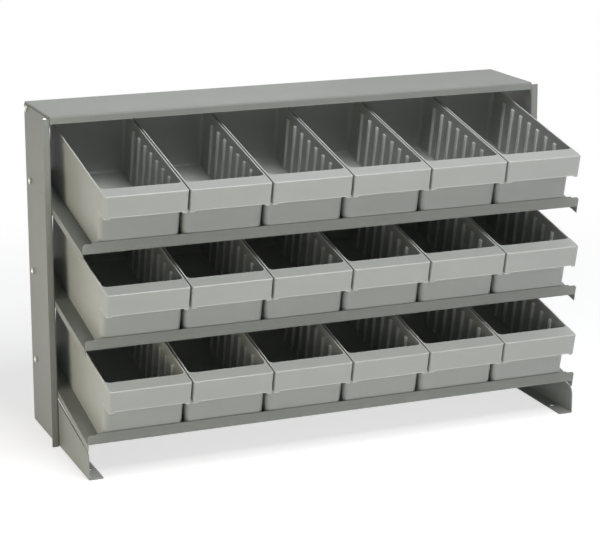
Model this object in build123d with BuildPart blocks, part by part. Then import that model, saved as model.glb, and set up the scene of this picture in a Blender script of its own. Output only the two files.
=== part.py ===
from build123d import *
import os
from math import cos, sin, tan, radians

# Bench rack with three sloped shelves of open-top drawers, all sizes in millimetres.
# X runs along the rack, the front faces -Y, Z is up, and Z = 0 is the bench.
# The origin is the middle of the footprint box on the bench.

# Drawers
columns = 6
drawer_width = 142.2        # outside, at the rim
drawer_body = 312.0         # outside length of the box at the rim, without the handle
drawer_height = 112.5
drawer_gap = 2.4            # between neighbouring rims
drawer_draft = 1.0          # degrees that every moulded wall leans
drawer_wall = 2.5
drawer_floor = 2.8
drawer_corner = 9.0         # outside radius of the upright corners
floor_round = 5.0           # inside, where the walls meet the floor
rim_chamfer = 0.7           # along all edges of the rim
handle_reach = 30.0         # the handle ledge in front of the box
handle_drop = 40.5          # front apron of the handle
handle_corner = 4.0         # outside radius of the handle's two upright corners
apron_tab = 9.0             # width of the low tab at each end of the apron
apron_relief = 2.4          # the apron between the tabs is this much shorter
slot_count = 7              # divider slots along each side wall
slot_first = 56.3           # first slot from the front wall
slot_pitch = 33.4
slot_gap = 3.0              # clear width of a slot
rib_width = 1.8
rib_depth = 2.3
rib_height = 96.0           # above the drawer floor
rib_root = 0.3              # the ribs run this far into the wall

# Sheet-steel frame
steel = 1.5
bend = 1.5                  # inside radius of a folded edge
fold_round = 0.8 * steel    # outside rounding where two folds meet at a corner
end_strip = 24.6            # bare deck beside the first and the last drawer
upright_depth = 168.0
front_flange = 12.5         # turned outward, measured from the inside of the web
rear_flange = 12.5          # turned inward, measured from the outside of the web
top_step = 4.0              # the uprights stop this far below the top panel
top_lip = 13.0
top_end = 20.0              # ends of the top panel, folded down inside the uprights
top_gap = 29.0              # above the top drawers, at the top panel's front lip
deck_slope = 12.0           # degrees, falling to the front
deck_lip = 20.0             # front edge turned up, square to the deck
deck_flange = 12.5          # sides and rear edge turned down
deck_low = 62.0             # bottom deck at its front edge, above the bench
lip_step = 2.5              # the lip is lower over its last stretch at each end
lip_step_length = 14.0
lip_corner = 3.0
pick_gap = 45.1             # from a drawer rim to the deck above
rest_gap = 0.3              # between a drawer and what it rests on or leans against

# Feet
foot_steel = 2.0
foot_reach = 182.0          # in front of the uprights
foot_lap = 90.0             # behind the front of the uprights
foot_base = 26.0            # bottom flange turned inward
foot_front_gap = 2.0        # below the bottom shelf's side flange, at the front
foot_slope = 10.5           # degrees of the top edge
foot_corner = 14.0
bench_hole = 9.0
bench_hole_in = 15.5        # from the outside of the foot to the hole
bench_hole_back = 48.0      # from the front of the foot to the hole

# Bolts and nuts, M6
bolt_shank = 6.0
bolt_hole = 6.6
bolt_flats = 10.0
bolt_head = 4.0
head_chamfer = 0.6
bolt_past_nut = 2.0
nut_height = 5.0
nut_clearance = 0.1
bolt_front = 22.0           # from the front of the uprights
shelf_bolt_rear = 35.0      # from the rear of the uprights
top_bolt_rear = 22.0
shelf_bolt_down = 7.2       # below the deck's top face, square to it
top_bolt_down = 10.5        # below the top panel

# Sizes that follow
slope = radians(deck_slope)
column_pitch = drawer_width + drawer_gap
inside_width = columns * drawer_width + (columns - 1) * drawer_gap + 2 * end_strip
web_in = inside_width / 2
web_out = web_in + steel
row_pitch = (drawer_height + rest_gap + pick_gap + steel) / cos(slope)
rim = drawer_height + rest_gap
lean = tan(radians(drawer_draft))
front_of_box = steel + rest_gap - (rim - deck_lip) * lean
ledge_reach = (handle_reach - front_of_box) * cos(slope)
reach_ahead = foot_reach + ledge_reach + (rim - rim_chamfer) * sin(slope)
rear = (upright_depth + reach_ahead) / 2
upright_front = rear - upright_depth
mid_y = rear - upright_depth / 2
shelf_front = upright_front - foot_reach
deck_room = foot_reach + upright_depth - steel - bend - rest_gap
deck_length = (deck_room - deck_flange * sin(slope)) / cos(slope)
rim_at_lip = (foot_reach + rim * sin(slope)) * tan(slope) + rim * cos(slope)
deck_heights = [deck_low + row * row_pitch for row in range(3)]
height = deck_heights[-1] + rim_at_lip + top_gap + top_lip
upright_height = height - top_step
rows = ["bottom", "middle", "top"]


def shelf_plane(row, x=0.0):
    """The deck's top face: local X along the rack, local Y up the slope, origin at the lip."""
    origin = (x, shelf_front, deck_heights[row])
    return Plane(origin=origin, x_dir=(1, 0, 0), z_dir=(0, -sin(slope), cos(slope)))


def deck_point(row, y):
    """Height of a shelf bolt at depth y, square to the deck below its top face."""
    on_deck = deck_heights[row] + (y - shelf_front) * tan(slope)
    return on_deck - shelf_bolt_down / cos(slope)


# Bolt centres in the plane of the uprights, as (y, z) pairs: two for each shelf, two for the top
bolt_ys = [upright_front + bolt_front, rear - shelf_bolt_rear]
shelf_bolts = [(y, deck_point(row, y)) for row in range(3) for y in bolt_ys]
top_bolts = [(y, height - top_bolt_down) for y in (upright_front + bolt_front, rear - top_bolt_rear)]
bolt_points = shelf_bolts + top_bolts


def side_plane(x):
    """Upright plane at x, with local X along +Y and local Y along +Z."""
    return Plane(origin=(x, 0, 0), x_dir=(0, 1, 0), z_dir=(1, 0, 0))


# Top panel: a folded sheet between the uprights, front and rear lips and both ends turned down
with BuildPart() as top_panel:
    with BuildSketch(side_plane(-web_in)) as top_section:
        with Locations((mid_y, height - steel / 2)):
            Rectangle(upright_depth, steel)
        for y in (upright_front + steel / 2, rear - steel / 2):
            with Locations((y, height - top_lip / 2)):
                Rectangle(steel, top_lip)
        fillet(top_section.vertices().group_by(Axis.Y)[1], bend)
        fillet(top_section.vertices().group_by(Axis.Y)[-1], bend + steel)
    extrude(amount=inside_width)
    with BuildSketch(Plane.XY.offset(height - steel)):
        end_length = upright_depth - 2 * (steel + bend + rest_gap)
        for x in (-web_in + steel / 2, web_in - steel / 2):
            with Locations((x, mid_y)):
                Rectangle(steel, end_length)
    extrude(amount=-(top_end - steel))
    for end in (0, -1):
        top_edges = top_panel.edges().filter_by(Axis.Y).group_by(Axis.Z)[-1]
        fillet(top_edges.sort_by(Axis.X)[end], fold_round)
    with BuildSketch(side_plane(-web_out)):
        with Locations(top_bolts):
            Circle(bolt_hole / 2)
    extrude(amount=2 * web_out, mode=Mode.SUBTRACT)
top_panel.part.label = "top_panel"

# Uprights: one folded section each, front flange outward, rear flange inward below the top panel
with BuildPart() as right_upright:
    with BuildSketch() as section:
        web_middle = (web_in + web_out) / 2
        with Locations((web_middle, mid_y)):
            Rectangle(steel, upright_depth)
        with Locations((web_in + front_flange / 2, upright_front + steel / 2)):
            Rectangle(front_flange, steel)
        with Locations((web_out - rear_flange / 2, rear - steel / 2)):
            Rectangle(rear_flange, steel)
        for corner in ((web_out, upright_front + steel), (web_in, rear - steel)):
            fillet(section.vertices().sort_by_distance(corner)[0], bend)
        for corner in ((web_in, upright_front), (web_out, rear)):
            fillet(section.vertices().sort_by_distance(corner)[0], bend + steel)
    extrude(amount=upright_height)
    with BuildSketch(Plane.XY.offset(upright_height)):
        with Locations((web_in - rear_flange / 2, rear)):
            Rectangle(rear_flange, 2 * (steel + bend))
    extrude(amount=-(top_end + rest_gap), mode=Mode.SUBTRACT)
    with BuildSketch(side_plane(web_in)):
        with Locations(bolt_points):
            Circle(bolt_hole / 2)
    extrude(amount=steel, mode=Mode.SUBTRACT)
right_upright.part.label = "right_upright"

with BuildPart() as left_upright:
    mirror(right_upright.part, about=Plane.YZ)
left_upright.part.label = "left_upright"


# Shelves: a sloped deck with its front lip turned up and its sides and rear edge turned down
def make_shelf(row):
    """One shelf in place, with a bolt hole at each end of both side flanges."""
    deck = shelf_plane(row)
    side = Plane(origin=deck.origin - (web_in, 0, 0), x_dir=deck.y_dir, z_dir=(1, 0, 0))
    with BuildPart() as shelf:
        with BuildSketch(side) as deck_section:
            with Locations((deck_length / 2, -steel / 2)):
                Rectangle(deck_length, steel)
            with Locations((steel / 2, (deck_lip - steel) / 2)):
                Rectangle(steel, deck_lip + steel)
            with Locations((deck_length - steel / 2, -deck_flange / 2)):
                Rectangle(steel, deck_flange)
            fillet(deck_section.vertices().sort_by_distance((0, -steel))[0], bend + steel)
            fillet(deck_section.vertices().sort_by_distance((steel, 0))[0], bend)
            fillet(deck_section.vertices().sort_by_distance((deck_length, 0))[0], bend + steel)
        extrude(amount=inside_width)
        with BuildSketch(deck.offset(-steel)):
            for x in (-web_in + steel / 2, web_in - steel / 2):
                with Locations((x, deck_length / 2)):
                    Rectangle(steel, deck_length)
        extrude(amount=-(deck_flange - steel))
        lip_face = Plane(origin=deck.origin, x_dir=(1, 0, 0), z_dir=-deck.y_dir)
        with BuildSketch(lip_face):
            for end in (-1, 1):
                with BuildLine():
                    Polyline(
                        (end * (web_in + steel), deck_lip + steel),
                        (end * (web_in - lip_step_length - lip_step), deck_lip + steel),
                        (end * (web_in - lip_step_length - lip_step), deck_lip),
                        (end * (web_in - lip_step_length), deck_lip - lip_step),
                        (end * (web_in - lip_corner), deck_lip - lip_step),
                        (end * web_in, deck_lip - lip_step - lip_corner),
                        (end * (web_in + steel), deck_lip - lip_step - lip_corner),
                        close=True,
                    )
                make_face()
        extrude(amount=-(steel + rest_gap), mode=Mode.SUBTRACT)
        with BuildSketch(side_plane(-web_out)):
            with Locations(shelf_bolts):
                Circle(bolt_hole / 2)
        extrude(amount=2 * web_out, mode=Mode.SUBTRACT)
    return shelf


shelves = []
for row, name in enumerate(rows):
    shelf = make_shelf(row)
    shelf.part.label = name + "_shelf"
    shelves.append(shelf)

# Feet: a bracket welded inside each upright, with a rounded nose and a bottom flange on the bench
with BuildPart() as right_foot:
    nose_top = deck_low - deck_flange - foot_front_gap
    tail_top = nose_top + (foot_reach + foot_lap) * tan(radians(foot_slope))
    with BuildSketch(side_plane(web_in)) as foot_side:
        with BuildLine():
            Polyline(
                (shelf_front, 0),
                (shelf_front, nose_top),
                (upright_front + foot_lap, tail_top),
                (upright_front + foot_lap, 0),
                close=True,
            )
        make_face()
        fillet(foot_side.vertices().sort_by_distance((shelf_front, nose_top))[0], foot_corner)
    extrude(amount=-foot_steel)
    with BuildSketch() as base:
        with Locations((web_in - foot_base / 2, shelf_front + (foot_reach + foot_lap) / 2)):
            Rectangle(foot_base, foot_reach + foot_lap)
        fillet(base.vertices().group_by(Axis.X)[0], foot_steel)
    extrude(amount=foot_steel)
    long_edges = right_foot.edges().filter_by(Axis.Y)
    heel = long_edges.group_by(Axis.Z)[0].sort_by(Axis.X)[-1]
    fillet(heel, foot_steel)
    with Locations(Plane.XY.offset(foot_steel)):
        with Locations((web_in - bench_hole_in, shelf_front + bench_hole_back)):
            Hole(bench_hole / 2, depth=foot_steel)
right_foot.part.label = "right_foot"

with BuildPart() as left_foot:
    mirror(right_foot.part, about=Plane.YZ)
left_foot.part.label = "left_foot"

# Bolts through the uprights from outside, and their nuts against the folded sheets inside
with BuildPart() as right_bolts:
    with BuildSketch(side_plane(web_out)):
        with Locations(bolt_points):
            RegularPolygon(bolt_flats / 2, 6, major_radius=False)
    extrude(amount=bolt_head)
    rims_out = right_bolts.faces().group_by(Axis.X)[-1]
    chamfer(rims_out.edges(), head_chamfer)
    with BuildSketch(side_plane(web_out)):
        with Locations(bolt_points):
            Circle(bolt_shank / 2)
    extrude(amount=-(2 * steel + nut_height + bolt_past_nut))
right_bolts.part.label = "right_bolts"

with BuildPart() as right_nuts:
    with BuildSketch(side_plane(web_in - steel)):
        with Locations(bolt_points):
            RegularPolygon(bolt_flats / 2, 6, major_radius=False)
            Circle(bolt_shank / 2 + nut_clearance, mode=Mode.SUBTRACT)
    extrude(amount=-nut_height)
right_nuts.part.label = "right_nuts"

with BuildPart() as left_bolts:
    mirror(right_bolts.part, about=Plane.YZ)
left_bolts.part.label = "left_bolts"

with BuildPart() as left_nuts:
    mirror(right_nuts.part, about=Plane.YZ)
left_nuts.part.label = "left_nuts"

# One drawer in its own frame: local Y up the slope from the shelf lip, local Z square to the deck
box_middle = front_of_box + drawer_body / 2
foot_shrink = 2 * drawer_height * lean
floor_top = rest_gap + drawer_floor
with BuildPart() as drawer:
    with BuildSketch(Plane.XY.offset(rim)) as hood:
        hood_length = handle_reach + drawer_corner + drawer_wall
        with Locations((0, front_of_box - handle_reach + hood_length / 2)):
            Rectangle(drawer_width, hood_length)
        fillet(hood.vertices().group_by(Axis.Y)[0], handle_corner)
    extrude(amount=-handle_drop, taper=drawer_draft)
    with BuildSketch(Plane.XY.offset(rim - drawer_wall)) as cavity:
        with Locations((0, front_of_box - handle_reach + drawer_wall + hood_length / 2)):
            Rectangle(drawer_width - 2 * drawer_wall, hood_length)
        fillet(cavity.vertices().group_by(Axis.Y)[0], handle_corner - drawer_wall)
    extrude(amount=-handle_drop, taper=drawer_draft, mode=Mode.SUBTRACT)
    with BuildSketch(Plane.XY.offset(rim - handle_drop)):
        with Locations((0, front_of_box - handle_reach)):
            Rectangle(drawer_width - 2 * apron_tab, 3 * drawer_wall)
    extrude(amount=apron_relief, mode=Mode.SUBTRACT)
    with BuildSketch(Plane.XY.offset(rest_gap)):
        with Locations((0, box_middle)):
            RectangleRounded(drawer_width - foot_shrink, drawer_body - foot_shrink, drawer_corner)
    extrude(amount=drawer_height, taper=-drawer_draft)
    inner_width = drawer_width - 2 * (drawer_height - drawer_floor) * lean - 2 * drawer_wall
    inner_length = drawer_body - 2 * (drawer_height - drawer_floor) * lean - 2 * drawer_wall
    with BuildSketch(Plane.XY.offset(floor_top)):
        with Locations((0, box_middle)):
            RectangleRounded(inner_width, inner_length, drawer_corner - drawer_wall)
    extrude(amount=drawer_height, taper=-drawer_draft, mode=Mode.SUBTRACT)
    floor_edges = drawer.edges().filter_by_position(Axis.Z, floor_top, floor_top)
    fillet(floor_edges, floor_round)
    rim_face = drawer.faces().sort_by(Axis.Z)[-1]
    chamfer(rim_face.edges(), rim_chamfer)
    with BuildSketch(Plane.XY.offset(floor_top)):
        root = rib_height * lean + rib_root
        first = front_of_box + drawer_wall + slot_first
        for side in (-1, 1):
            for slot in range(slot_count):
                for edge in (-1, 1):
                    rib_x = side * (inner_width / 2 + (root - rib_depth) / 2)
                    rib_y = first + slot * slot_pitch + edge * (slot_gap + rib_width) / 2
                    with Locations((rib_x, rib_y)):
                        Rectangle(rib_depth + root, rib_width)
    extrude(amount=rib_height)

# Eighteen drawers, three rows of six
drawers = []
for row, name in enumerate(rows):
    for column in range(columns):
        x = (column - (columns - 1) / 2) * column_pitch
        with BuildPart(shelf_plane(row, x)) as placed:
            add(drawer.part)
        placed.part.label = f"{name}_drawer_{column + 1}"
        drawers.append(placed)

os.makedirs("parts", exist_ok=True)
frame = [top_panel, left_upright, right_upright] + shelves + [left_foot, right_foot]
fasteners = [left_bolts, right_bolts, left_nuts, right_nuts]
for piece in frame + fasteners + drawers:
    export_step(piece.part, f"parts/{piece.part.label}.step")
print(f"height {height:.1f}, depth {upright_depth + reach_ahead:.1f}, row pitch {row_pitch:.1f}")
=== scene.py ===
import bpy
from math import cos, radians, sin, tan
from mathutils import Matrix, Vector


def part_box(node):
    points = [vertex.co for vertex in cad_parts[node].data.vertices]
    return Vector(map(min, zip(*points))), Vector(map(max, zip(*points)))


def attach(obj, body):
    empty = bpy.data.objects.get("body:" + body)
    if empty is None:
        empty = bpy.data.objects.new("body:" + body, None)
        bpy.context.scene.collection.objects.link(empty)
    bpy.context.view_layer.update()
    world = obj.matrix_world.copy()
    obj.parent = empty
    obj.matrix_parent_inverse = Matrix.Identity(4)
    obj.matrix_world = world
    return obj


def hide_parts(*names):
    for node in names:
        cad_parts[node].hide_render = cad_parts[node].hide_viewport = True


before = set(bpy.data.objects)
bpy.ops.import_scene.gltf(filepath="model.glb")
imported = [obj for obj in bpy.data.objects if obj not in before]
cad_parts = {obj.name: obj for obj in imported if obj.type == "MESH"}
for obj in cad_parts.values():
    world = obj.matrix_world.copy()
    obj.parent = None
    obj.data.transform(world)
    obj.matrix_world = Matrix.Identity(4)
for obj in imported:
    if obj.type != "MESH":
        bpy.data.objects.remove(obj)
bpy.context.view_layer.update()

# Uprights, top panel, shelves and feet. Folded and welded sheet steel under baked grey enamel,
# bolted together through the uprights. The enamel is satin, a little rippled, and scuffed where drawers and
# hands pass. Along the sheared edges and folds it is painted paler: partly rubbed-thin wear, partly a painted
# highlight.
mm = 0.001
enamel_grey = "#959791"
enamel_cool = "#8a8e89"
enamel_dust = "#a3a29b"
# paler colour of edges and folds: rubbed-thin wear and a painted highlight
enamel_rubbed_and_highlight = "#b4b6b2"
enamel_gloss = (0.36, 0.52)   # roughness from clean to scuffed
enamel_shine = 0.25           # specular level, half the usual: this enamel has dulled
peel_size = 2.5 * mm          # ripple of the enamel, drawn coarser than the real 1 mm so that it shows
peel_strength, peel_depth = 0.12, 0.2 * mm
cloud_size = 160 * mm
scuff_size = 14 * mm
scuff_from, scuff_to, scuff_most = 0.56, 0.74, 0.35
# how far the rubbed wear and painted edge highlight reach
rub_and_highlight_width = 1.2 * mm
turn_from, turn_to = 0.985, 0.80      # cosines of the normal's turn where the rubbed wear and painted edge highlight start and are full


def linear(hex_colour):
    """The linear RGBA of an sRGB hex colour."""
    parts = [int(hex_colour[i:i + 2], 16) / 255 for i in (1, 3, 5)]
    return [c / 12.92 if c <= 0.04045 else ((c + 0.055) / 1.055) ** 2.4 for c in parts] + [1.0]


def add(tree, kind, settings=None, values=None, links=None):
    """Adds one node: its settings, the values of its sockets, and the sockets that feed it."""
    made = tree.nodes.new(kind)
    for name, value in (settings or {}).items():
        setattr(made, name, value)
    for key, value in (values or {}).items():
        made.inputs[key].default_value = value
    for key, source in (links or {}).items():
        tree.links.new(source, made.inputs[key])
    return made


def new_material(name):
    """An empty node material with its output and its Principled shader."""
    material = bpy.data.materials.new(name)
    material.use_nodes = True
    tree = material.node_tree
    tree.nodes.clear()
    output = add(tree, "ShaderNodeOutputMaterial")
    shader = add(tree, "ShaderNodeBsdfPrincipled")
    tree.links.new(shader.outputs["BSDF"], output.inputs["Surface"])
    return material, tree, shader


def blend_colours(tree, factor, first, second):
    """Mixes two colours, each a hex value or a socket, by a factor socket."""
    mix = add(tree, "ShaderNodeMix", {"data_type": "RGBA"}, links={0: factor})
    for slot, source in ((6, first), (7, second)):
        if isinstance(source, str):
            mix.inputs[slot].default_value = linear(source)
        else:
            tree.links.new(source, mix.inputs[slot])
    return mix.outputs[2]


def rubbed_and_highlit_edges(tree):
    """Mask of the sheet's edges and folds, painted paler as rubbed wear and a painted highlight, from how far
    a rounded normal turns from the true one.
    """
    rounded = add(tree, "ShaderNodeBevel", {"samples": 6}, {"Radius": rub_and_highlight_width})
    true = add(tree, "ShaderNodeNewGeometry")
    turn = add(tree, "ShaderNodeVectorMath", {"operation": "DOT_PRODUCT"},
               links={0: rounded.outputs["Normal"], 1: true.outputs["Normal"]})
    ramp = add(tree, "ShaderNodeMapRange", values={"From Min": turn_from, "From Max": turn_to},
               links={"Value": turn.outputs["Value"]})
    return ramp.outputs["Result"]


def make_enamel():
    """Satin grey: cloudy in tone, dusty where scuffed, paler at the edges as rubbed wear and a painted
    highlight.
    """
    material, tree, shader = new_material("baked grey enamel on folded steel")
    place = add(tree, "ShaderNodeTexCoord").outputs["Object"]
    clouds = add(tree, "ShaderNodeTexNoise", values={"Scale": 1 / cloud_size, "Detail": 3.0},
                 links={"Vector": place})
    body = blend_colours(tree, clouds.outputs["Fac"], enamel_grey, enamel_cool)
    scuffs = add(tree, "ShaderNodeTexNoise", values={"Scale": 1 / scuff_size, "Detail": 6.0, "Roughness": 0.7},
                 links={"Vector": place})
    scuffed = add(tree, "ShaderNodeMapRange",
                  values={"From Min": scuff_from, "From Max": scuff_to, "To Max": scuff_most},
                  links={"Value": scuffs.outputs["Fac"]})
    dusty = blend_colours(tree, scuffed.outputs["Result"], body, enamel_dust)
    # painted highlight and rubbed wear along edges and folds, broken up by the scuff noise
    rubbed_and_highlit = add(tree, "ShaderNodeMath", {"operation": "MULTIPLY"},
                 links={0: rubbed_and_highlit_edges(tree), 1: scuffs.outputs["Fac"]})
    colour = blend_colours(tree, rubbed_and_highlit.outputs["Value"], dusty, enamel_rubbed_and_highlight)
    tree.links.new(colour, shader.inputs["Base Color"])
    gloss = add(tree, "ShaderNodeMapRange", values={"To Min": enamel_gloss[0], "To Max": enamel_gloss[1]},
                links={"Value": scuffs.outputs["Fac"]})
    tree.links.new(gloss.outputs["Result"], shader.inputs["Roughness"])
    shader.inputs["Specular IOR Level"].default_value = enamel_shine
    peel = add(tree, "ShaderNodeTexNoise", values={"Scale": 1 / peel_size, "Detail": 1.0},
               links={"Vector": place})
    bump = add(tree, "ShaderNodeBump", values={"Strength": peel_strength, "Distance": peel_depth},
               links={"Height": peel.outputs["Fac"]})
    tree.links.new(bump.outputs["Normal"], shader.inputs["Normal"])
    return material


def dress(names, material):
    """Gives the CAD nodes' own meshes a material."""
    for name in names:
        for slot in bpy.data.objects[name].material_slots:
            slot.material = material


enamel = make_enamel()
dress(["left_upright", "right_upright", "top_panel", "bottom_shelf", "middle_shelf", "top_shelf",
       "left_foot", "right_foot"], enamel)

# Welds of the feet. Each foot is stitched to the inside of its upright with three short beads, two along
# its sloping top edge and one up its rear edge, and enamelled over with the rest.
web_in = 457.2 * mm           # inside face of the uprights
upright_front, upright_rear = (corner[1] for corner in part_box("right_upright"))
foot_reach, foot_behind = 182 * mm, 90 * mm       # in front of and behind the upright's front
shelf_front = upright_front - foot_reach
foot_rear = upright_front + foot_behind
foot_slope = radians(10.5)
nose_top = 47.5 * mm          # top edge of a foot at its front
bead_length, bead_radius, bead_ripple = 27 * mm, 2.0 * mm, 1.8 * mm
bead_end, bead_shoulder, bead_dip = 0.35, 0.8, 0.13       # parts of the radius
beads_back = (24 * mm, 68 * mm)       # the top edge's beads, behind the upright's front
bead_up = 38 * mm             # the rear edge's bead, above the bench
off_web, off_foot = 0.5 * mm, 0.4 * mm        # how far a bead's middle lies off the two faces it joins
smooth_under = radians(32)    # edges that turn less than this are shaded smooth


def pick(made, kind, test):
    """In edit mode, selects only the faces or edges whose corners all pass the test."""
    bpy.ops.object.mode_set(mode="EDIT")
    bpy.ops.mesh.select_mode(type=kind)
    bpy.ops.mesh.select_all(action="DESELECT")
    bpy.ops.object.mode_set(mode="OBJECT")
    mesh = made.data
    for part in mesh.polygons if kind == "FACE" else mesh.edges:
        part.select = all(test(mesh.vertices[corner].co) for corner in part.vertices)
    bpy.ops.object.mode_set(mode="EDIT")


def settle(name):
    """Names the active piece and puts its place, turn and scale into its mesh."""
    bpy.ops.object.transform_apply(location=True, rotation=True, scale=True)
    made = bpy.context.object
    made.name = name
    return made


def copies_of(name, first, places):
    """Copies a piece to each (place, turn) and joins the copies to one piece at the origin."""
    copies = []
    for place, turn in places:
        bpy.ops.object.select_all(action="DESELECT")
        first.select_set(True)
        bpy.context.view_layer.objects.active = first
        bpy.ops.object.duplicate()
        copies.append(bpy.context.object)
        copies[-1].location, copies[-1].rotation_euler = place, turn
    bpy.ops.object.select_all(action="DESELECT")
    for copy in copies:
        copy.select_set(True)
    bpy.context.view_layer.objects.active = copies[0]
    bpy.ops.object.join()
    made = settle(name)
    bpy.ops.object.shade_smooth_by_angle(angle=smooth_under)
    return made


# One bead: a rod cut into rings, drawn in at its ends and rippled between them.
bpy.ops.object.select_all(action="DESELECT")
bpy.ops.mesh.primitive_cylinder_add(vertices=12, radius=bead_radius, depth=bead_length)
bead = settle("bead")
pick(bead, "EDGE", lambda co: False)
bpy.ops.object.mode_set(mode="OBJECT")
for edge in bead.data.edges:
    low, high = (bead.data.vertices[corner].co for corner in edge.vertices)
    edge.select = abs(low.z - high.z) > bead_ripple
bpy.ops.object.mode_set(mode="EDIT")
last_ring = 2 * round(bead_length / bead_ripple)
bpy.ops.mesh.subdivide(number_cuts=last_ring - 1)
for ring in range(last_ring + 1):
    height = -bead_length / 2 + bead_length * ring / last_ring
    pick(bead, "EDGE", lambda co: abs(co.z - height) < bead_ripple / 8)
    from_end = min(ring, last_ring - ring)
    swell = {0: bead_end, 1: bead_shoulder}.get(from_end, 1.0 - bead_dip * (ring % 2))
    bpy.ops.transform.resize(value=(swell, swell, 1), center_override=(0, 0, height))
bpy.ops.object.mode_set(mode="OBJECT")

for side, name in ((1, "right_foot_welds"), (-1, "left_foot_welds")):
    x = side * (web_in - off_web)
    stitches = []
    for y in (upright_front + back for back in beads_back):
        z = nose_top + (y - shelf_front) * tan(foot_slope) + off_foot
        stitches.append(((x, y, z), (foot_slope - radians(90), 0, 0)))
    stitches.append(((x, foot_rear + off_foot, bead_up), (0, 0, 0)))
    welds = copies_of(name, bead, stitches)
    welds.data.materials.append(enamel)
    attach(welds, "frame")
bpy.data.objects.remove(bead)

# Bolts and nuts. Hexagon M6 screws put in from outside, with nuts drawn up on the folded sheets inside:
# cold-headed steel under bright zinc plate, with dished heads. The plate is smooth and faintly blue, and
# yellower where the passivation is thicker. No two are tightened to the same turn.
zinc_bright = "#dcdee0"
zinc_yellow = "#cfcbb8"
zinc_gloss = (0.22, 0.42)     # roughness from bright to bloomed
zinc_bloom = 6 * mm
flats, head_height, nut_height = 10 * mm, 4 * mm, 5 * mm
thread_radius, thread_pitch, past_nut = 3 * mm, 1 * mm, 2 * mm
round_steps = 48              # sides of the round blank that a hexagon is cut from
worn_edge = 0.12 * mm
steel = 1.5 * mm              # thickness of the folded sheets
deck_low = 62 * mm            # bottom deck above the bench at the shelves' front
row_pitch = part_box("middle_shelf")[0][2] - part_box("bottom_shelf")[0][2]
deck_slope = radians(12)
rack_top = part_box("top_panel")[1][2]
bolt_in, shelf_bolt_in = 22 * mm, 35 * mm     # from the uprights' front and rear; from their rear
below_deck, below_top = 7.2 * mm, 10.5 * mm
first_turn, next_turn = 17, 23        # degrees that the first head is turned, and each next one more


def make_zinc():
    """Bright metal whose plate blooms a little yellow and dull in spots."""
    material, tree, shader = new_material("bright zinc plate on steel")
    place = add(tree, "ShaderNodeTexCoord").outputs["Object"]
    bloom = add(tree, "ShaderNodeTexNoise", values={"Scale": 1 / zinc_bloom, "Detail": 4.0},
                links={"Vector": place})
    colour = blend_colours(tree, bloom.outputs["Fac"], zinc_bright, zinc_yellow)
    tree.links.new(colour, shader.inputs["Base Color"])
    shader.inputs["Metallic"].default_value = 1.0
    gloss = add(tree, "ShaderNodeMapRange", values={"To Min": zinc_gloss[0], "To Max": zinc_gloss[1]},
                links={"Value": bloom.outputs["Fac"]})
    tree.links.new(gloss.outputs["Result"], shader.inputs["Roughness"])
    return material


def cut_hexagon(made):
    """Cuts six flats from the active round blank, which lies along X, and wears its sharp edges."""
    bpy.ops.object.mode_set(mode="EDIT")
    for side in range(6):
        across = Vector((0, cos(radians(60 * side)), sin(radians(60 * side))))
        bpy.ops.mesh.select_all(action="SELECT")
        bpy.ops.mesh.bisect(plane_co=across * flats / 2, plane_no=across, clear_outer=True, use_fill=True)
    bpy.ops.object.mode_set(mode="OBJECT")
    wear = made.modifiers.new("worn edges", "BEVEL")
    wear.width, wear.segments = worn_edge, 2
    wear.limit_method, wear.angle_limit = "ANGLE", radians(25)
    bpy.ops.object.modifier_apply(modifier=wear.name)


# The head lies along X with its bearing face at zero: chamfered round its outside and dished in the middle.
head_chamfer, chamfer_drop = 0.95 * mm, 0.55 * mm
dish_rim, dish_side, dish_depth = 1.1 * mm, 0.7 * mm, 0.9 * mm
dish_middle, middle_depth = 1.2 * mm, 0.3 * mm
blank_radius = flats / 2 / cos(radians(30))
chamfer_middle = blank_radius - head_chamfer / 2
bpy.ops.object.select_all(action="DESELECT")
bpy.ops.mesh.primitive_cylinder_add(vertices=round_steps, radius=blank_radius, depth=head_height,
                                    location=(head_height / 2, 0, 0), rotation=(0, radians(90), 0))
bolt = settle("bolt")
pick(bolt, "FACE", lambda co: co.x > 0.9 * head_height)
bpy.ops.mesh.inset(thickness=head_chamfer)
pick(bolt, "EDGE", lambda co: co.x > 0.9 * head_height and co.yz.length > chamfer_middle)
bpy.ops.transform.translate(value=(-chamfer_drop, 0, 0))
pick(bolt, "FACE", lambda co: co.x > 0.9 * head_height and co.yz.length < chamfer_middle)
bpy.ops.mesh.inset(thickness=dish_rim)
bpy.ops.mesh.inset(thickness=dish_side, depth=-dish_depth)
bpy.ops.mesh.inset(thickness=dish_middle, depth=-middle_depth)
cut_hexagon(bolt)

# The shank is plain in its holes, and a rolled thread shows past the nut.
shank_length = 2 * steel + nut_height + past_nut
core_radius = thread_radius - 0.5 * mm
shank_chamfer = 0.5 * mm
ridge, ridge_out = 0.45 * mm, 0.12 * mm       # the thread's ridge, and its middle outside the core
thread_turns, turn_steps = 4, 24
bpy.ops.object.select_all(action="DESELECT")
bpy.ops.mesh.primitive_cylinder_add(vertices=32, radius=core_radius, depth=shank_length,
                                    location=(-shank_length / 2, 0, 0), rotation=(0, radians(90), 0))
shank = settle("shank")
pick(shank, "EDGE", lambda co: co.x < -0.9 * shank_length)
bpy.ops.mesh.bevel(offset=shank_chamfer, segments=2)
bpy.ops.object.mode_set(mode="OBJECT")
bpy.ops.object.select_all(action="DESELECT")
bpy.ops.mesh.primitive_circle_add(vertices=3, radius=ridge, rotation=(radians(90), 0, 0),
                                  location=(ridge - shank_length, 0, core_radius + ridge_out))
thread = settle("thread")
turns = thread.modifiers.new("turns", "SCREW")
turns.axis, turns.screw_offset, turns.iterations = "X", thread_pitch, thread_turns
turns.steps = turns.render_steps = turn_steps
bpy.ops.object.modifier_apply(modifier=turns.name)
bpy.ops.object.mode_set(mode="EDIT")
bpy.ops.mesh.select_all(action="SELECT")
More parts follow.
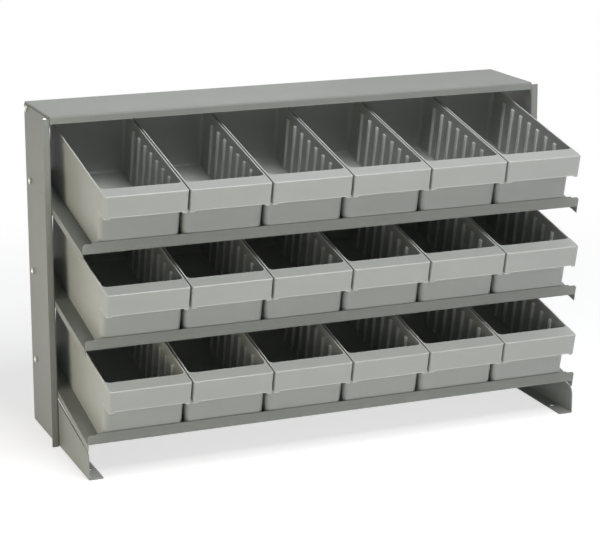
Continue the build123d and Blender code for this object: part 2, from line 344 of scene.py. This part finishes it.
bpy.ops.mesh.remove_doubles(threshold=0.01 * mm)
bpy.ops.mesh.fill_holes(sides=0)
bpy.ops.mesh.select_all(action="SELECT")
bpy.ops.mesh.normals_make_consistent(inside=False)
bpy.ops.object.mode_set(mode="OBJECT")
for part in (shank, bolt):
    part.select_set(True)
bpy.context.view_layer.objects.active = bolt
bpy.ops.object.join()

# The nut lies along X with its bearing face at zero, and is turned from one section.
bore_radius = thread_radius + 0.1 * mm
nut_chamfer = 0.45 * mm
bpy.ops.object.select_all(action="DESELECT")
bpy.ops.mesh.primitive_plane_add(size=1, rotation=(radians(90), 0, 0))
nut = bpy.context.object
nut.scale = (nut_height, blank_radius - bore_radius, 1)
nut.location = (-nut_height / 2, 0, (blank_radius + bore_radius) / 2)
nut = settle("nut")
pick(nut, "FACE", lambda co: True)
bpy.ops.mesh.bevel(offset=nut_chamfer, segments=1, affect="VERTICES")
bpy.ops.mesh.select_all(action="SELECT")
bpy.ops.mesh.delete(type="ONLY_FACE")
bpy.ops.mesh.select_all(action="SELECT")
bpy.ops.mesh.spin(steps=round_steps, angle=radians(360), center=(0, 0, 0), axis=(1, 0, 0))
bpy.ops.mesh.select_all(action="SELECT")
bpy.ops.mesh.remove_doubles(threshold=0.01 * mm)
bpy.ops.mesh.normals_make_consistent(inside=False)
cut_hexagon(nut)

# Two bolts for each shelf and two for the top panel, on both sides.
bolt_places = []
for row in range(3):
    for y in (upright_front + bolt_in, upright_rear - shelf_bolt_in):
        deck = deck_low + row * row_pitch + (y - shelf_front) * tan(deck_slope)
        bolt_places.append((y, deck - below_deck / cos(deck_slope)))
for y in (upright_front + bolt_in, upright_rear - bolt_in):
    bolt_places.append((y, rack_top - below_top))
zinc = make_zinc()
for side, name in ((1, "right"), (-1, "left")):
    facing = 0 if side > 0 else radians(180)
    for kind, first, out in (("bolts", bolt, web_in + steel), ("nuts", nut, web_in - steel)):
        places = [((side * out, y, z), (radians((first_turn + next_turn * count) % 60), 0, facing))
                  for count, (y, z) in enumerate(bolt_places)]
        fixings = copies_of(f"{name}_hexagon_{kind}", first, places)
        fixings.data.materials.append(zinc)
        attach(fixings, "frame")
        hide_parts(f"{name}_{kind}")
bpy.data.objects.remove(bolt)
bpy.data.objects.remove(nut)

# Drawers. Injection-moulded polypropylene in light grey, one mould for all eighteen. The surface has the
# mould's fine spark texture and soft flow marks, and paler rims, ribs and handle edges: a painted highlight,
# with some rubbed wear.
plastic_grey = "#b0b3ae"
plastic_deep = "#a8aba6"
# paler colour of thin rims, ribs and edges: a painted highlight, with some rubbed wear
plastic_highlight_and_rubbed = "#e6e8e5"
plastic_gloss = (0.30, 0.42)  # roughness along the flow marks
highlight_and_rub_reach = 2.2 * mm          # edges and ribs thinner than this get the painted highlight and rubbed wear
thin_from, thin_to = 0.92, 0.50       # how open the inside is where the painted highlight starts and is full
spark_size = 1.6 * mm         # drawn coarser than the real 0.1 mm texture so that it shows
spark_strength, spark_depth = 0.15, 0.15 * mm
flow_size = 70 * mm
moulded_round = 0.6 * mm      # every moulded edge is a little round and catches the light


def make_plastic():
    """Light grey and half matt: faint flow marks, fine grain, and thin edges painted paler as a highlight with
    some rubbed wear.
    """
    material, tree, shader = new_material("moulded grey polypropylene")
    place = add(tree, "ShaderNodeTexCoord").outputs["Object"]
    flow = add(tree, "ShaderNodeTexNoise", values={"Scale": 1 / flow_size, "Detail": 4.0, "Distortion": 0.6},
               links={"Vector": place})
    body = blend_colours(tree, flow.outputs["Fac"], plastic_grey, plastic_deep)
    # thin rims and ribs, found by looking inside the plastic, are painted paler as a highlight
    within = add(tree, "ShaderNodeAmbientOcclusion", {"inside": True, "samples": 6}, {"Distance": highlight_and_rub_reach})
    rubbed_and_highlit = add(tree, "ShaderNodeMapRange", values={"From Min": thin_from, "From Max": thin_to},
                 links={"Value": within.outputs["AO"]})
    colour = blend_colours(tree, rubbed_and_highlit.outputs["Result"], body, plastic_highlight_and_rubbed)
    tree.links.new(colour, shader.inputs["Base Color"])
    gloss = add(tree, "ShaderNodeMapRange", values={"To Min": plastic_gloss[0], "To Max": plastic_gloss[1]},
                links={"Value": flow.outputs["Fac"]})
    tree.links.new(gloss.outputs["Result"], shader.inputs["Roughness"])
    spark = add(tree, "ShaderNodeTexNoise", values={"Scale": 1 / spark_size, "Detail": 2.0},
                links={"Vector": place})
    softened = add(tree, "ShaderNodeBevel", {"samples": 5}, {"Radius": moulded_round})
    bump = add(tree, "ShaderNodeBump", values={"Strength": spark_strength, "Distance": spark_depth},
               links={"Height": spark.outputs["Fac"], "Normal": softened.outputs["Normal"]})
    tree.links.new(bump.outputs["Normal"], shader.inputs["Normal"])
    return material


plastic = make_plastic()
dress([f"{row}_drawer_{column}" for row in ("bottom", "middle", "top") for column in range(1, 7)], plastic)

# Floor: a plain pale sweep that keeps the rack's shadow. The camera and reflections see it turn from lit
# grey near the rack to plain white away from it; all other light meets a plain pale floor.
floor_size = 24.0
floor_pale = "#f2f2f0"
floor_near = "#bcbcbc"
near_glow = 0.66              # added near the rack, so that the lit floor is white and its shadow pale
shadow_reach = (0.75, 1.9)    # metres from the middle, where the floor turns from lit grey to white
white = linear("#ffffff")

bpy.ops.object.select_all(action="DESELECT")
bpy.ops.mesh.primitive_plane_add(size=floor_size, location=(0, 0, 0))
floor = bpy.context.object
floor.name = "studio_floor"
floor_material, floor_tree, floor_shader = new_material("pale studio floor")
floor_shader.inputs["Base Color"].default_value = linear(floor_pale)
floor_shader.inputs["Roughness"].default_value = 0.9
floor_shader.inputs["Specular IOR Level"].default_value = 0.1
rays = add(floor_tree, "ShaderNodeLightPath")
seen = add(floor_tree, "ShaderNodeMath", {"operation": "MAXIMUM"},
           links={0: rays.outputs["Is Camera Ray"], 1: rays.outputs["Is Glossy Ray"]})
far = add(floor_tree, "ShaderNodeEmission", values={"Color": white, "Strength": 1.0})
glow = add(floor_tree, "ShaderNodeEmission", values={"Color": white, "Strength": near_glow})
lit = add(floor_tree, "ShaderNodeBsdfDiffuse", values={"Color": linear(floor_near)})
near = add(floor_tree, "ShaderNodeAddShader", links={0: lit.outputs[0], 1: glow.outputs[0]})
floor_place = add(floor_tree, "ShaderNodeTexCoord").outputs["Object"]
away = add(floor_tree, "ShaderNodeVectorMath", {"operation": "LENGTH"}, links={0: floor_place})
fade = add(floor_tree, "ShaderNodeMapRange", {"interpolation_type": "SMOOTHSTEP"},
           {"From Min": shadow_reach[0], "From Max": shadow_reach[1]}, {"Value": away.outputs["Value"]})
pale = add(floor_tree, "ShaderNodeMixShader",
           links={0: fade.outputs["Result"], 1: near.outputs[0], 2: far.outputs[0]})
choose = add(floor_tree, "ShaderNodeMixShader",
             links={0: seen.outputs["Value"], 1: floor_shader.outputs["BSDF"], 2: pale.outputs[0]})
floor_out = next(node for node in floor_tree.nodes if node.type == "OUTPUT_MATERIAL")
floor_tree.links.new(choose.outputs[0], floor_out.inputs["Surface"])
floor.data.materials.append(floor_material)

# Light: one large soft box high in front, weak ones low in front and on the left, fill from the right and
# from behind for the other views, and a dim even room that the camera and reflections see as white.
room_light = 0.10
room_colour = "#dfecff"       # daylight from a window, a little bluer than the lamps
lamp_warm = "#fff3de"
world = bpy.data.worlds.new("white room")
bpy.context.scene.world = world
world.use_nodes = True
sky = world.node_tree
sky.nodes.clear()
sky_out = add(sky, "ShaderNodeOutputWorld")
sky_rays = add(sky, "ShaderNodeLightPath")
sky_seen = add(sky, "ShaderNodeMath", {"operation": "MAXIMUM"},
               links={0: sky_rays.outputs["Is Camera Ray"], 1: sky_rays.outputs["Is Glossy Ray"]})
room = add(sky, "ShaderNodeBackground", values={"Color": linear(room_colour), "Strength": room_light})
white_room = add(sky, "ShaderNodeBackground", values={"Color": white, "Strength": 1.0})
choose_room = add(sky, "ShaderNodeMixShader",
                  links={0: sky_seen.outputs["Value"], 1: room.outputs[0], 2: white_room.outputs[0]})
sky.links.new(choose_room.outputs[0], sky_out.inputs["Surface"])


def soft_box(name, place, aim, width, height, power):
    """A soft box at place, turned to face aim, in metres and watts. The box itself never shows."""
    lamp = bpy.data.lights.new(name, "AREA")
    lamp.shape = "RECTANGLE"
    lamp.size, lamp.size_y = width, height
    lamp.energy = power
    lamp_object = bpy.data.objects.new(name, lamp)
    bpy.context.collection.objects.link(lamp_object)
    lamp_object.location = place
    reach = Vector(aim) - Vector(place)
    lamp_object.rotation_euler = reach.to_track_quat("-Z", "Y").to_euler()
    lamp_object.visible_camera = False
    return lamp_object


soft_box("key_box", (0.2, -1.36, 2.42), (0, 0, 0.4), 1.2, 1.2, 50)
soft_box("front_strip", (0.2, -1.2, 0.3), (0, -0.1, 0.14), 1.8, 0.26, 2.2)
left_strip = soft_box("left_strip", (-1.3, -0.2, 0.28), (-0.4, -0.05, 0.1), 0.5, 0.22, 3.4)
left_box = soft_box("left_box", (-2.6, -1.6, 0.6), (0, 0, 0.2), 1.2, 1.2, 5.5)
for lamp in (left_strip, left_box):
    lamp.data.color = linear(lamp_warm)[:3]
soft_box("right_box", (2.4, 0.2, 0.8), (0.3, 0, 0.3), 1.2, 1.2, 10)
soft_box("rear_box", (0.3, 2.4, 0.45), (0, 0.2, 0.3), 1.4, 0.8, 8)

# Camera: the photograph's viewpoint, found from measured corners of the rack.
frame_px = (600, 560)
focal_px = 2062
principal_px = (330, 205)     # the photograph was framed a little off the lens axis
yaw, pitch = 22.61, 12.96     # degrees to the right and down
camera_place = (-1.333, -3.329 + upright_front, 1.217)
film_width = 36               # millimetres

camera_data = bpy.data.cameras.new("camera")
camera = bpy.data.objects.new("camera", camera_data)
bpy.context.collection.objects.link(camera)
bpy.context.scene.camera = camera
camera.location = camera_place
camera.rotation_euler = (radians(90 - pitch), 0, radians(-yaw))
camera_data.sensor_width = film_width
camera_data.lens = film_width * focal_px / frame_px[0]
camera_data.shift_x = (frame_px[0] / 2 - principal_px[0]) / frame_px[0]
camera_data.shift_y = (principal_px[1] - frame_px[1] / 2) / frame_px[0]

bpy.context.scene.view_settings.view_transform = "Standard"
